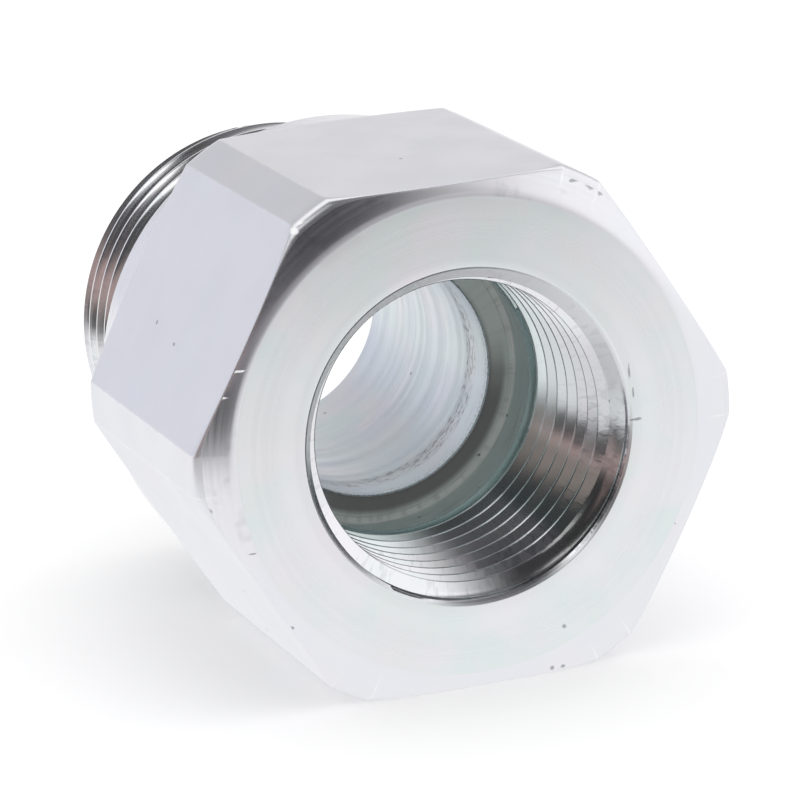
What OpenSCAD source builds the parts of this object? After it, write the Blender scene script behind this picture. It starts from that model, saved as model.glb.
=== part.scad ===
// Threaded reducer turned from hexagon bar: female G 1/2 port at one end, male G 3/4 stud at the other.
// All sizes are in millimetres. The axis lies along Y, the port faces -Y and the stud points to +Y.
// The origin is on the axis, in the plane of the sealing shoulder. The part lies on its lowest flat.

/* [Hexagon] */
// Width across the flats, a 32 mm spanner size
across_flats = 32; // [31.5:0.5:34]
// Diameter that the bar's corners are turned down to
corner_d = 35.5; // [34.5:0.1:36.3]
// Length of the hexagon, from the port face to the collar
hex_len = 24.2; // [22:0.1:30]
// Diameter of the flat ring around the port
port_face_d = 30.8; // [28:0.1:31.3]
// Slope of the turned chamfer at the port face, measured from that face
front_chamfer_angle = 17; // [10:1:30]
// Slope of the turned chamfer at the collar, measured from the port face
back_chamfer_angle = 26; // [15:1:30]

/* [Collar] */
// Diameter of the round collar behind the hexagon
collar_d = 31.8; // [30:0.1:31.8]
// Length of the collar, from the hexagon to the sealing shoulder
collar_len = 2.8; // [1:0.1:5]
// Bevel at the rim of the sealing shoulder
collar_bevel = 0.3; // [0.1:0.1:0.8]
// Inner diameter of the raised sealing ring on the shoulder
seal_ring_bore_d = 28.6; // [27:0.1:29]
// Height that the sealing ring stands above the recess inside it
seal_ring_height = 0.3; // [0.1:0.1:0.6]

/* [Female port] */
// Hole that the G 1/2 thread is cut in (outer thread diameter 20.955, 14 threads an inch)
port_bore_d = 19; // [18.7:0.1:19.1]
// Depth at which the thread ends
port_thread_depth = 16.3; // [14:0.1:17]
// Diameter of the relief behind the thread
relief_d = 19.8; // [19.2:0.1:21.4]
// Depth of the port's flat floor
port_depth = 18.8; // [18:0.1:21]
// Diameter of the 90 degree countersink at the port face
mouth_d = 21.5; // [21:0.1:23]

/* [Flow bore] */
// Diameter of the plain bore that runs on to the stud's end
flow_bore_d = 16; // [12:0.1:17]
// Edge break where the flow bore meets the port's floor
floor_edge_break = 0.1; // [0.1:0.1:0.5]
// Chamfer where the flow bore leaves the stud
exit_chamfer = 0.9; // [0.3:0.1:1.5]

/* [Male stud] */
// Outer diameter of the G 3/4 thread, 14 threads an inch
stud_thread_d = 26.441; // [26.2:0.001:26.441]
// Length of the stud, from the sealing shoulder to its end
stud_len = 16; // [14:0.5:20]
// Diameter of the thread undercut beside the shoulder
undercut_d = 23.9; // [22.5:0.1:24]
// Width of the thread undercut
undercut_len = 3; // [1:0.5:4]
// 45 degree lead-in chamfer at the stud's end
stud_chamfer = 1.5; // [1:0.1:2]

/* [Hidden] */
$fn = 128;
// A cut runs this far past the face that it opens in
past = 1;

head_len = hex_len + collar_len;
part_len = head_len + stud_len;
corner_r = corner_d / 2;
port_face_r = port_face_d / 2;
collar_r = collar_d / 2;
stud_r = stud_thread_d / 2;
front_chamfer_len = (corner_r - port_face_r) * tan(front_chamfer_angle);
back_chamfer_len = (corner_r - collar_r) * tan(back_chamfer_angle);
mouth_len = (mouth_d - port_bore_d) / 2;

// The modules below are drawn with the port face at z = 0 and the stud upwards.

// Bar turned to its corner diameter, with a cone towards each end of the hexagon
module turned_bar() {
    rotate_extrude()
        polygon([
            [0, 0],
            [port_face_r, 0],
            [corner_r, front_chamfer_len],
            [corner_r, hex_len - back_chamfer_len],
            [collar_r, hex_len],
            [0, hex_len]
        ]);
}

// Six flats, two of them facing up and down once the part lies on its side
module hexagon() {
    intersection() {
        turned_bar();
        cylinder(h = hex_len, d = across_flats / cos(30), $fn = 6);
    }
}

// Collar with its sealing ring, undercut and threaded length of the stud, as one turned outline
module collar_and_stud() {
    thread_start = head_len + undercut_len;
    undercut_r = undercut_d / 2;
    seal_ring_bore_r = seal_ring_bore_d / 2;
    recess_z = head_len - seal_ring_height;
    rotate_extrude()
        polygon([
            [0, hex_len],
            [collar_r, hex_len],
            [collar_r, head_len - collar_bevel],
            [collar_r - collar_bevel, head_len],
            [seal_ring_bore_r, head_len],
            [seal_ring_bore_r, recess_z],
            [undercut_r, recess_z],
            [undercut_r, thread_start - (stud_r - undercut_r)],
            [stud_r, thread_start],
            [stud_r, part_len - stud_chamfer],
            [stud_r - stud_chamfer, part_len],
            [0, part_len]
        ]);
}

// Countersink, thread hole and relief, cut from the port face to the port's floor
module port_cut() {
    translate([0, 0, -past])
        cylinder(h = port_thread_depth + 2 * past, d = port_bore_d);
    translate([0, 0, -past])
        cylinder(h = mouth_len + past, d1 = mouth_d + 2 * past, d2 = port_bore_d);
    translate([0, 0, port_thread_depth])
        cylinder(h = port_depth - port_thread_depth, d = relief_d);
}

// Plain bore from the port's floor to the stud's end, with its edges broken
module flow_cut() {
    translate([0, 0, port_depth - past])
        cylinder(h = part_len - port_depth + 2 * past, d = flow_bore_d);
    translate([0, 0, port_depth - past])
        cylinder(h = floor_edge_break + past,
                 d1 = flow_bore_d + 2 * (floor_edge_break + past), d2 = flow_bore_d);
    translate([0, 0, part_len - exit_chamfer])
        cylinder(h = exit_chamfer + past,
                 d1 = flow_bore_d, d2 = flow_bore_d + 2 * (exit_chamfer + past));
}

// The whole fitting, laid on a flat with its shoulder plane through the origin
module reducer_body() {
    color([0.80, 0.81, 0.84])
        rotate([-90, 0, 0])
            translate([0, 0, -head_len])
                difference() {
                    union() {
                        hexagon();
                        collar_and_stud();
                    }
                    port_cut();
                    flow_cut();
                }
}

reducer_body();
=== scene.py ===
"""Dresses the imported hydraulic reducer: turned and threaded body, plated finish, floor, light and camera."""

import math
from functools import partial

import bmesh
import bpy
from mathutils import Matrix
from mathutils import Vector


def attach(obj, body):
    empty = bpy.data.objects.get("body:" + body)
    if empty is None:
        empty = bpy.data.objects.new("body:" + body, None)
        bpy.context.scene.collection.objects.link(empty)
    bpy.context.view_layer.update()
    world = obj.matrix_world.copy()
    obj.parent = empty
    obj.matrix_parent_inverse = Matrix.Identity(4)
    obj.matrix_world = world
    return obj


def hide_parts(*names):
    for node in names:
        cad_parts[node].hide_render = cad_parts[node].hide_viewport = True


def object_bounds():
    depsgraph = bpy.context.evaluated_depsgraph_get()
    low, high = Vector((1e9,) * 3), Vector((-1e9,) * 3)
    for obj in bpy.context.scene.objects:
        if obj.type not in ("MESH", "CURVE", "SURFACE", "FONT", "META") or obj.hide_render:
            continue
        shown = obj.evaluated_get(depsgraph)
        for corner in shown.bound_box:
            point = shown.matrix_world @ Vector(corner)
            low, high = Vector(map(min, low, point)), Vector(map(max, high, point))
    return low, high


bl_info = {
    "name": "Hydraulic reducer",
    "version": (1, 0, 0),
    "blender": (4, 5, 0),
    "location": "3D View > Sidebar > Reducer",
    "description": "Builds a zinc plated hydraulic reducer with cut threads, and the studio around it",
    "category": "Object",
}

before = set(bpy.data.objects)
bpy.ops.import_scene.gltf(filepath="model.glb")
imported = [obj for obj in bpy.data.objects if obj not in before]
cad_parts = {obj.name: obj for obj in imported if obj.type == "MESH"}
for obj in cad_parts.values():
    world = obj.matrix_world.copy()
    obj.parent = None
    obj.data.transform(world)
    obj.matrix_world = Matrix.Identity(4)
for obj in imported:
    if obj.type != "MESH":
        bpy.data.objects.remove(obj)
CAD_LOW, CAD_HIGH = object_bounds()

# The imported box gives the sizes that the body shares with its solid.
PORT_FACE_Y = CAD_LOW.y
STUD_END_Y = CAD_HIGH.y
FLOOR_Z = CAD_LOW.z

FULL_TURN = 2.0 * math.pi
MILLIMETRE = 0.001
BLACK = (0.0, 0.0, 0.0, 1.0)
WHITE = (1.0, 1.0, 1.0, 1.0)

# The width of a broken inner edge, and the angle from which an edge of the mesh shows sharp.
BROKEN_EDGE = 0.0001
SHARP_ANGLE = math.radians(42.0)

# The form of a pipe thread: the slope of its flanks, then its half depth, the softness of its
# crest and root and the rubbed part beside a crest, as shares of the pitch.
FLANK_ANGLE = math.radians(27.5)
HALF_DEPTH = 0.320163
CREST_SOFTNESS = 0.04
ROOT_SOFTNESS = 0.12
WORN_CREST = 0.05

# Where the rows of the mesh lie between a crest and the next root, as shares of the pitch, and
# how often the stretch between two rows is halved to find where the surface changes.
STUD_ROW_SHARES = (0.012, 0.030, 0.050, 0.10, 0.21, 0.31, 0.37, 0.43)
PORT_ROW_SHARES = (0.012, 0.030, 0.050, 0.10, 0.19, 0.28, 0.34, 0.42)
EDGE_HALVINGS = 14

# Dents and specks in the plating, and how metallic the pale spots still are: crushed spots, and the spots that
# paint a highlight on one corner.
DENT_STRENGTH = 0.5
DENT_DEPTH = 0.00002
SPECK_DEPTH = 0.00003
BRUISE_AND_HIGHLIGHT_METAL = 0.1

# The part of a noise that the tone of a surface swings over.
TONE_RANGE = (0.3, 0.7)

# Single marks in millimetres: centre, half size, and whether the mark is pale or dark.
NICKS = {
    "turned_chamfers": (
        ((-14.65, -26.75, 6.38), (0.70, 0.75, 0.085), "pale"),
        ((-15.62, -26.60, 4.84), (0.60, 0.60, 0.09), "pale"),
        ((-17.02, -26.46, -2.15), (0.30, 0.30, 0.26), "dark"),
        ((-14.60, -26.95, -5.10), (0.34, 0.24, 0.07), "dark"),
        ((-12.41, -26.79, -10.25), (0.16, 0.22, 0.16), "dark"),
        ((9.33, -26.42, 14.56), (0.50, 0.40, 0.34), "dark"),
        ((9.85, -26.45, 14.05), (0.34, 0.40, 0.26), "dark"),
        ((8.22, -26.47, 15.04), (0.50, 0.40, 0.14), "dark"),
        # The next three pale spots at the upper left corner are a painted highlight, not nicks.
        ((-10.08, -26.28, 14.42), (0.34, 0.45, 0.34), "pale"),
        ((-9.65, -26.30, 14.86), (0.36, 0.40, 0.16), "pale"),
        ((-8.60, -26.25, 15.55), (0.80, 0.30, 0.09), "pale"),
        ((7.54, -26.34, 15.87), (0.30, 0.40, 0.20), "dark"),
        ((4.35, -26.72, -15.73), (0.20, 0.30, 0.20), "dark"),
        ((5.12, -26.64, -15.75), (0.18, 0.30, 0.18), "dark"),
    ),
    "turned_face": (
        ((10.98, -27.00, -0.52), (0.45, 0.30, 0.10), "dark"),
        ((10.72, -27.00, 2.60), (0.09, 0.30, 0.60), "dark"),
        ((10.90, -27.00, 1.20), (0.07, 0.30, 0.40), "dark"),
        ((5.25, -27.00, -13.06), (0.16, 0.20, 0.16), "dark"),
        ((13.10, -27.00, 8.20), (0.40, 0.20, 0.10), "pale"),
    ),
    "drawn_flats": (
        # These two pale spots at the upper left corner are a painted highlight, not nicks.
        ((-10.08, -26.28, 14.42), (0.34, 0.45, 0.34), "pale"),
        ((-9.65, -26.30, 14.86), (0.36, 0.40, 0.16), "pale"),
        ((-12.63, -17.65, -10.13), (0.16, 0.20, 0.16), "dark"),
        ((-14.83, -10.76, 6.31), (0.18, 0.22, 0.18), "dark"),
        ((-15.10, -15.27, 5.84), (0.16, 0.30, 0.14), "dark"),
    ),
}


def degrees(*values):
    """Angles in radians."""
    return tuple(math.radians(value) for value in values)


def length_property(name, description, default):
    """A size in metres, shown in the scene's own unit."""
    return bpy.props.FloatProperty(
        name=name, description=description, default=default, min=0.0, unit="LENGTH", precision=5
    )


def place_property(name, description, default):
    """A place along the fitting's axis in metres, which may lie on either side of the shoulder."""
    return bpy.props.FloatProperty(
        name=name, description=description, default=default, unit="LENGTH", precision=5
    )


def angle_property(name, description, default):
    """An angle, written here in degrees."""
    return bpy.props.FloatProperty(
        name=name, description=description, default=math.radians(default), unit="ROTATION"
    )


def factor_property(name, description, default):
    """A share from 0 to 1."""
    return bpy.props.FloatProperty(
        name=name, description=description, default=default, min=0.0, max=1.0, subtype="FACTOR"
    )


def colour_property(name, description, default):
    """A linear colour."""
    return bpy.props.FloatVectorProperty(
        name=name, description=description, default=default, size=3, min=0.0, max=1.0, subtype="COLOR"
    )


class HexagonSizes(bpy.types.PropertyGroup):
    """Sizes of the spanner hexagon, its two chamfers and the collar behind it."""

    across_flats: length_property("Across flats", "Spanner size", CAD_HIGH.z - CAD_LOW.z)
    corner_radius: length_property("Corner radius", "Radius of the turned bar at the corners", CAD_HIGH.x)
    face_radius: length_property("Face radius", "Where the flat port face ends", 0.0154)
    front_angle: angle_property("Front chamfer", "Angle of the front cone from the face", 17.0)
    back_angle: angle_property("Back chamfer", "Angle of the back cone from the face", 26.0)
    back_y: place_property("Hexagon end", "Where the hexagon meets the collar", -0.0028)
    collar_radius: length_property("Collar radius", "Radius of the round collar", 0.0159)
    collar_bevel: length_property("Collar bevel", "Bevel on the collar's outer edge", 0.0003)
    edge_rounding: length_property("Edge rounding", "Radius of the broken edges", 0.00014)
    corner_wear: length_property("Corner wear", "More rounding where a corner meets the face", 0.0007)
    face_rounding: length_property("Face rounding", "Soft edge between the face and its chamfer", 0.0019)


class StudSizes(bpy.types.PropertyGroup):
    """Sizes of the male stud, its undercut and its sealing ring."""

    major_radius: length_property("Major radius", "Outer radius of the male thread", 0.0132205)
    thread_phase_y: place_property("Thread phase", "Place of one crest line on the +X side", 0.00968)
    ring_radius: length_property("Ring radius", "Inner radius of the raised sealing ring", 0.0143)
    ring_height: length_property("Ring height", "Height of the sealing ring", 0.0003)
    undercut_radius: length_property("Undercut radius", "Radius of the thread undercut", 0.01195)
    undercut_end_y: place_property("Undercut end", "Where the thread starts to rise", 0.00173)
    end_radius: length_property("End radius", "Radius of the stud's end face", 0.0117205)
    crest_thinning: length_property("Crest thinning", "How much each flank is cut back", 0.00002)
    lead_start_y: place_property("Lead start", "Where the chamfer at the stud's end begins", 0.01398)


class PortSizes(bpy.types.PropertyGroup):
    """Sizes of the female port and of the flow bore behind it."""

    major_radius: length_property("Major radius", "Root radius of the female thread", 0.0104775)
    tapping_radius: length_property("Tapping radius", "Radius of the tapping hole", 0.0095)
    thread_phase_y: place_property("Thread phase", "Place of one ridge line on the +X side", -0.013343)
    mouth_radius: length_property("Mouth radius", "Outer radius of the countersink", 0.01075)
    thread_end_y: place_property("Thread end", "Where the thread runs out into the relief", -0.0118)
    runout_start_y: place_property("Run-out start", "Where the tap's lead starts to cut less deep", -0.0130)
    relief_radius: length_property("Relief radius", "Radius of the relief behind the thread", 0.0099)
    relief_fillet: length_property("Relief fillet", "Rounding between seat and relief", 0.00032)
    seat_y: place_property("Seat", "Place of the flat seat at the port's bottom", -0.0082)
    seat_ring_radius: length_property("Seat ring", "Radius of the fine step round the seat", 0.0094)
    seat_ring_depth: length_property("Seat ring depth", "Depth of the fine step round the seat", 0.00012)
    flow_radius: length_property("Flow radius", "Radius of the through bore", 0.008)
    exit_radius: length_property("Exit radius", "Radius of the chamfer where the bore leaves", 0.0089)
    pitch: length_property("Pitch", "Pitch of both threads, fourteen to the inch", 0.0254 / 14.0)
    crest_thinning: length_property("Crest thinning", "How much each flank is cut back", 0.0002)


class PlatingColours(bpy.types.PropertyGroup):
    """Colours and roughness of the plated finish."""

    zinc: colour_property("Zinc", "Plain plated steel", (0.835, 0.84, 0.86))
    cool: colour_property("Cool tint", "Bluish passivation", (0.755, 0.79, 0.87))
    warm: colour_property("Warm tint", "Pinkish passivation", (0.865, 0.81, 0.83))
    green: colour_property("Green tint", "Greenish passivation", (0.74, 0.83, 0.80))
    bore: colour_property("Bore tint", "Blue-grey plating of the flow bore", (0.72, 0.765, 0.81))
    dull: colour_property("Dull film", "Thick grey-green film deep in the port", (0.76, 0.88, 0.85))
    # Painted shade: this dark colour darkens the port's thread where it runs out and along a narrow lower
    # right sector.
    film: colour_property("Dark film", "Darker film where the port's thread runs out", (0.42, 0.50, 0.48))
    seat: colour_property("Seat film", "Brownish film on the seat", (0.86, 0.87, 0.84))
    # This is also the colour of the pale spots. Besides showing real nicks, they paint a highlight on the
    # upper left corner.
    worn: colour_property("Worn edge", "Rubbed plating on the edges", (0.93, 0.93, 0.94))
    # Besides real specks, this colour paints shade on the port's seat and just inside the port's mouth.
    specks_and_painted_shade: colour_property("Specks", "Dark specks left from handling", (0.24, 0.23, 0.23))
    # Besides real tool marks, this colour paints shade on the right side of the port's thread near the mouth.
    tool_marks_and_painted_shade: colour_property("Tool marks", "Grey bottoms of coarse tool marks", (0.42, 0.43, 0.45))
    flat_roughness: factor_property("Flat roughness", "Roughness of the drawn flats", 0.33)
    face_roughness: factor_property("Face roughness", "Roughness of the turned faces", 0.27)
    chamfer_roughness: factor_property("Chamfer roughness", "Roughness of the chamfers", 0.20)
    mouth_roughness: factor_property("Mouth roughness", "Roughness of the countersink", 0.45)
    thread_roughness: factor_property("Thread roughness", "Roughness of the cut threads", 0.18)
    bore_roughness: factor_property("Bore roughness", "Roughness of the flow bore", 0.38)
    dull_roughness: factor_property("Dull roughness", "Roughness of the film in the recess", 0.60)


class StudioSettings(bpy.types.PropertyGroup):
    """Floor, light and camera."""

    floor_colour: colour_property("Floor colour", "Plain pale floor", (0.84, 0.84, 0.845))
    floor_radius: length_property("Floor radius", "Radius of the floor disc", 3.0)
    floor_lift: factor_property("Floor lift", "How much the camera sees the floor lifted to white", 0.20)
    pool_radius: length_property("Lit table radius", "How far out metal mirrors a bright table", 0.115)
    sky_strength: bpy.props.FloatProperty(
        name="Room light", description="Soft light from all round", default=1.0, min=0.0
    )
    lamp_power: bpy.props.FloatProperty(
        name="Lamp power", description="Power of the overhead soft lamp in watts", default=0.4, min=0.0
    )
    azimuth: angle_property("Azimuth", "Camera azimuth from the port's axis", -18.017)
    elevation: angle_property("Elevation", "Camera elevation above the floor", 14.174)
    roll: angle_property("Roll", "Camera roll", -4.46)
    distance: length_property("Distance", "Camera distance from the port face", 0.333486)
    aside: place_property("Aside", "Camera move to its right", -0.004342)
    upward: place_property("Upward", "Camera move upwards in its own view", 0.002320)
    focal_length: bpy.props.FloatProperty(
        name="Focal length", description="Focal length in millimetres", default=243.03, min=1.0
    )


def rounded(corners, steps=4):
    """Rounds each inner corner of a profile.

    A corner is (radius, y, rounding, finish), with the finish of the stretch that follows it.
    A corner without rounding stays a single point.
    The result is a list of (radius, y, worn, finish).
    """
    line = []
    for before, corner, after in zip([None, *corners], corners, [*corners[1:], None]):
        if corner[2] == 0.0 or before is None or after is None:
            line.append((corner[0], corner[1], 0.0, corner[3]))
            continue
        here = Vector(corner[:2])
        back = Vector(before[:2]) - here
        ahead = Vector(after[:2]) - here
        turn = math.pi - back.angle(ahead)
        most = 0.45 * min(back.length, ahead.length)
        reach = min(corner[2] * math.tan(turn / 2.0), most)
        start = here + back.normalized() * reach
        end = here + ahead.normalized() * reach
        inward = back.x * ahead.y - back.y * ahead.x
        for step in range(steps + 1):
            t = step / steps
            point = start * (1.0 - t) ** 2 + here * 2.0 * t * (1.0 - t) + end * t**2
            worn = math.sin(math.pi * t) if inward > 0.0 else 0.0
            line.append((point.x, point.y, worn, corner[3]))
    return line


def soft_limit(value, limit, softness):
    """The value, held below the limit with a small rounding where they meet."""
    return min(value, limit) - max(softness - abs(value - limit), 0.0) ** 2 / (4.0 * softness)


def thread_height(offset, pitch, thinning):
    """Height of a 55 degree thread above its mid line, at an offset from the crest.

    The thinning cuts both flanks back, which leaves a narrow crest and a wider rounded root.
    """
    half_depth = HALF_DEPTH * pitch
    flank = (pitch / 4.0 - thinning - abs(offset)) / math.tan(FLANK_ANGLE)
    crested = soft_limit(flank, half_depth, CREST_SOFTNESS * pitch)
    return -soft_limit(-crested, half_depth, ROOT_SOFTNESS * pitch)


def crest_offset(y, angle, phase, pitch):
    """Distance along the axis to the nearest crest of a right-hand thread."""
    turns = (y - phase) / pitch + angle / FULL_TURN
    return (turns - math.floor(turns + 0.5)) * pitch


def thread_rows(low, high, phase, pitch, half):
    """Heights of the rows that follow the thread, from one pitch below the low end to one above.

    The half gives the places of the rows as shares of the pitch from a crest to a root. The
    count of the rows in one turn comes with the heights.
    """
    shares = (0.0, *half, 0.5, *(1.0 - share for share in reversed(half)))
    first = math.floor((low - phase) / pitch)
    last = math.ceil((high - phase) / pitch) + 1
    rows = [phase + (turn + share) * pitch for turn in range(first, last) for share in shares]
    rows.append(phase + last * pitch)
    return rows, len(shares)


def hexagon_columns(hexagon):
    """Angles of the mesh columns and the body's outer radius at each, with the wear of the long edges."""
    apothem = hexagon.across_flats / 2.0
    edge = math.acos(apothem / hexagon.corner_radius)
    soft = hexagon.edge_rounding * 0.24
    near, corner, side_angle = degrees(0.42, 30.0, 60.0)
    flat_offsets = [edge * share / 10.0 for share in range(-10, 11)]
    flat_offsets[0] = -edge + near
    flat_offsets[-1] = edge - near
    turning = [edge - near / 2.0, edge, edge + near / 2.0, edge + near]
    strip = [edge + (corner - edge) * share for share in (0.4, 0.7)]
    side = turning + strip
    offsets = [-corner] + [-offset for offset in reversed(side)] + flat_offsets + side
    columns = []
    for sector in range(6):
        centre = corner + sector * side_angle
        for offset in offsets:
            flat = apothem / math.cos(offset)
            gap = max(soft - abs(flat - hexagon.corner_radius), 0.0)
            radius = min(flat, hexagon.corner_radius) - gap**2 / (4.0 * soft)
            worn = max(0.0, 1.0 - abs(abs(offset) - edge) / near)
            columns.append((centre + offset, radius, worn))
    return columns


def outside_profile(hexagon, stud, mouth, outer_radius):
    """The turned profile from the port's mouth over the hexagon to the foot of the stud's thread."""
    edge = hexagon.edge_rounding
    front = PORT_FACE_Y + (outer_radius - hexagon.face_radius) * math.tan(hexagon.front_angle)
    back = hexagon.back_y - (outer_radius - hexagon.collar_radius) * math.tan(hexagon.back_angle)
    bevel = hexagon.collar_bevel
    support = 0.0005
    apothem = hexagon.across_flats / 2.0
    at_corner = (outer_radius - apothem) / (hexagon.corner_radius - apothem)
    corner_rounding = edge + hexagon.corner_wear * max(0.0, at_corner) ** 3
    return [
        (mouth - edge, PORT_FACE_Y + edge, 0.0, "turned_face"),
        (mouth, PORT_FACE_Y, edge / 2.0, "turned_face"),
        (mouth + support, PORT_FACE_Y, 0.0, "turned_face"),
        (hexagon.face_radius - 2.0 * support, PORT_FACE_Y, 0.0, "turned_face"),
        (hexagon.face_radius, PORT_FACE_Y, hexagon.face_rounding, "turned_chamfers"),
        (outer_radius, front, corner_rounding, "drawn_flats"),
        (outer_radius, front + 3.0 * support, 0.0, "drawn_flats"),
        (outer_radius, back - support, 0.0, "drawn_flats"),
        (outer_radius, back, edge, "turned_chamfers"),
        (hexagon.collar_radius, hexagon.back_y, edge, "turned_chamfers"),
        (hexagon.collar_radius, -bevel, edge, "turned_chamfers"),
        (hexagon.collar_radius - bevel, 0.0, edge, "turned_face"),
        (stud.ring_radius, 0.0, edge / 2.0, "turned_face"),
        (stud.ring_radius, -stud.ring_height, edge / 2.0, "turned_face"),
        (stud.undercut_radius, -stud.ring_height, edge * 2.0, "turned_chamfers"),
        (stud.undercut_radius, stud.undercut_end_y, 0.0, "cut_threads"),
    ]


def inside_profile(stud, port, edge):
    """The turned profile from the stud's end through the flow bore to the end of the port's thread."""
    broken = BROKEN_EDGE
    ring_depth = port.seat_ring_depth
    bore_end = STUD_END_Y - (port.exit_radius - port.flow_radius)
    exit_support = 0.0008
    seat_support = 0.0006
    return [
        (stud.end_radius + edge, STUD_END_Y - edge, 0.0, "turned_face"),
        (stud.end_radius, STUD_END_Y, edge, "turned_face"),
        (port.exit_radius, STUD_END_Y, edge, "turned_chamfers"),
        (port.flow_radius, bore_end, edge * 2.0, "flow_bore"),
        (port.flow_radius, bore_end - exit_support, 0.0, "flow_bore"),
        (port.flow_radius, port.seat_y + seat_support, 0.0, "flow_bore"),
        (port.flow_radius, port.seat_y + broken, broken / 2.0, "flow_bore"),
        (port.flow_radius + broken, port.seat_y, broken / 2.0, "dull_recess"),
        (port.seat_ring_radius, port.seat_y, edge / 3.0, "dull_recess"),
        (port.seat_ring_radius + ring_depth, port.seat_y + ring_depth, edge / 3.0, "dull_recess"),
        (port.relief_radius, port.seat_y + ring_depth, port.relief_fillet, "dull_recess"),
        (port.relief_radius, port.thread_end_y, broken / 2.0, "dull_recess"),
        (port.tapping_radius, port.thread_end_y, broken / 2.0, "cut_threads"),
        (port.tapping_radius, port.thread_end_y - broken, 0.0, "cut_threads"),
    ]


def stud_radius(y, angle, stud, pitch):
    """Radius of the stud at a place on its thread, and which surface it lies on."""
    middle = stud.major_radius - thread_height(0.0, pitch, stud.crest_thinning)
    offset = crest_offset(y, angle, stud.thread_phase_y, pitch)
    thread = middle + thread_height(offset, pitch, stud.crest_thinning)
    rise = stud.undercut_radius + y - stud.undercut_end_y
    lead = (STUD_END_Y - y) / (STUD_END_Y - stud.lead_start_y)
    chamfer = stud.end_radius + (stud.major_radius - stud.end_radius) * lead
    return min((thread, "thread"), (rise, "rise"), (chamfer, "chamfer"))


def port_radius(y, angle, port, pitch):
    """Radius of the port at a place on its thread, and which surface it lies on."""
    middle = port.major_radius + thread_height(pitch / 2.0, pitch, port.crest_thinning)
    offset = crest_offset(y, angle, port.thread_phase_y, pitch)
    groove = middle - thread_height(offset, pitch, port.crest_thinning)
    fading = (y - port.runout_start_y) / (port.thread_end_y - port.runout_start_y)
    fading = min(1.0, max(0.0, fading))
    lead = port.major_radius + (port.relief_radius - port.major_radius) * fading
    countersink = port.mouth_radius - (y - PORT_FACE_Y)
    cut = min((groove, "thread"), (lead, "lead"))
    return max(cut, (port.tapping_radius, "hole"), (countersink, "countersink"))


def thread_column(rows, climb, low, high, radius_at, snapped):
    """One column of thread rows as (radius, y, surface).

    Rows past the ends stay on the ends. Where the surface changes to a snapped one between
    two rows, the nearer row moves onto the edge, so that the edge stays crisp.
    """
    places = [min(max(row - climb, low), high) for row in rows]
    column = [(*radius_at(y), y) for y in places]
    for number in range(len(column) - 1):
        near = column[number]
        far = column[number + 1]
        if near[1] == far[1] or not ({near[1], far[1]} & snapped):
            continue
        start = near[2]
        end = far[2]
        for _ in range(EDGE_HALVINGS):
            half = (start + end) / 2.0
            if radius_at(half)[1] == near[1]:
                start = half
            else:
                end = half
        moved = number if start - near[2] < far[2] - start else number + 1
        if low < column[moved][2] < high:
            column[moved] = (radius_at(start)[0], column[moved][1], start)
    return [(radius, y, surface) for radius, surface, y in column]


def body_rings(hexagon, stud, port):
    """The whole profile at every column of the mesh, and where its rows follow the two threads.

    A ring is (angle, points), and a point is (radius, y, worn, finish). A thread's rows are given
    as (first row, last row, step to the row that lies one turn on where the last column meets
    the first).
    """
    pitch = port.pitch
    edge = hexagon.edge_rounding
    stud_ends = (stud.undercut_end_y, STUD_END_Y - edge)
    mouth_y = PORT_FACE_Y + port.mouth_radius - port.major_radius
    port_ends = (mouth_y, port.thread_end_y - BROKEN_EDGE)
    stud_rows, stud_turn = thread_rows(*stud_ends, stud.thread_phase_y, pitch, STUD_ROW_SHARES)
    port_rows, port_turn = thread_rows(*port_ends, port.thread_phase_y, pitch, PORT_ROW_SHARES)
    inside = rounded(inside_profile(stud, port, edge))
    rings = []
    for angle, outer_radius, edge_worn in hexagon_columns(hexagon):
        climb = pitch * angle / FULL_TURN
        outside = rounded(outside_profile(hexagon, stud, port.mouth_radius, outer_radius))
        ring = []
        for radius, y, worn, finish in outside:
            if finish == "drawn_flats":
                worn = max(worn, edge_worn)
            ring.append((radius, y, worn, finish))
        stud_at = partial(stud_radius, angle=angle, stud=stud, pitch=pitch)
        for radius, y, surface in thread_column(stud_rows, climb, *stud_ends, stud_at, {"rise", "chamfer"}):
            near_crest = abs(crest_offset(y, angle, stud.thread_phase_y, pitch)) / pitch
            worn = max(0.0, 1.0 - near_crest / WORN_CREST) if surface == "thread" else 0.0
            ring.append((radius, y, worn, "cut_threads"))
        ring.extend(inside)
        port_at = partial(port_radius, angle=angle, port=port, pitch=pitch)
        for radius, y, _ in reversed(thread_column(port_rows, climb, *port_ends, port_at, {"countersink"})):
            ring.append((radius, y, 0.0, "countersunk_mouth" if y == mouth_y else "cut_threads"))
        rings.append((angle, ring))
    stud_first = len(outside)
    port_first = stud_first + len(stud_rows) + len(inside)
    stud_thread = (stud_first, stud_first + len(stud_rows) - 1, -stud_turn)
    port_thread = (port_first, port_first + len(port_rows) - 1, port_turn)
    return rings, (stud_thread, port_thread)


def rows_across_seam(count, threads):
    """The first column's row that meets each row of the last column, one turn of thread later."""
    rows = list(range(count))
    for first, last, step in threads:
        for row in range(first, last + 1):
            rows[row] = min(max(row + step, first), last)
    return rows


def shared_points(rings):
    """Each place once with its wear, and the numbers of the points in every column."""
    points = []
    wear = []
    found = {}
    columns = []
    for angle, ring in rings:
        column = []
        for radius, y, worn, _ in ring:
            spot = (radius * math.cos(angle), y, radius * math.sin(angle))
            key = tuple(round(value, 8) for value in spot)
            if key not in found:
                found[key] = len(points)
                points.append(spot)
                wear.append(worn)
            column.append(found[key])
        columns.append(column)
    return points, wear, columns


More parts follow.
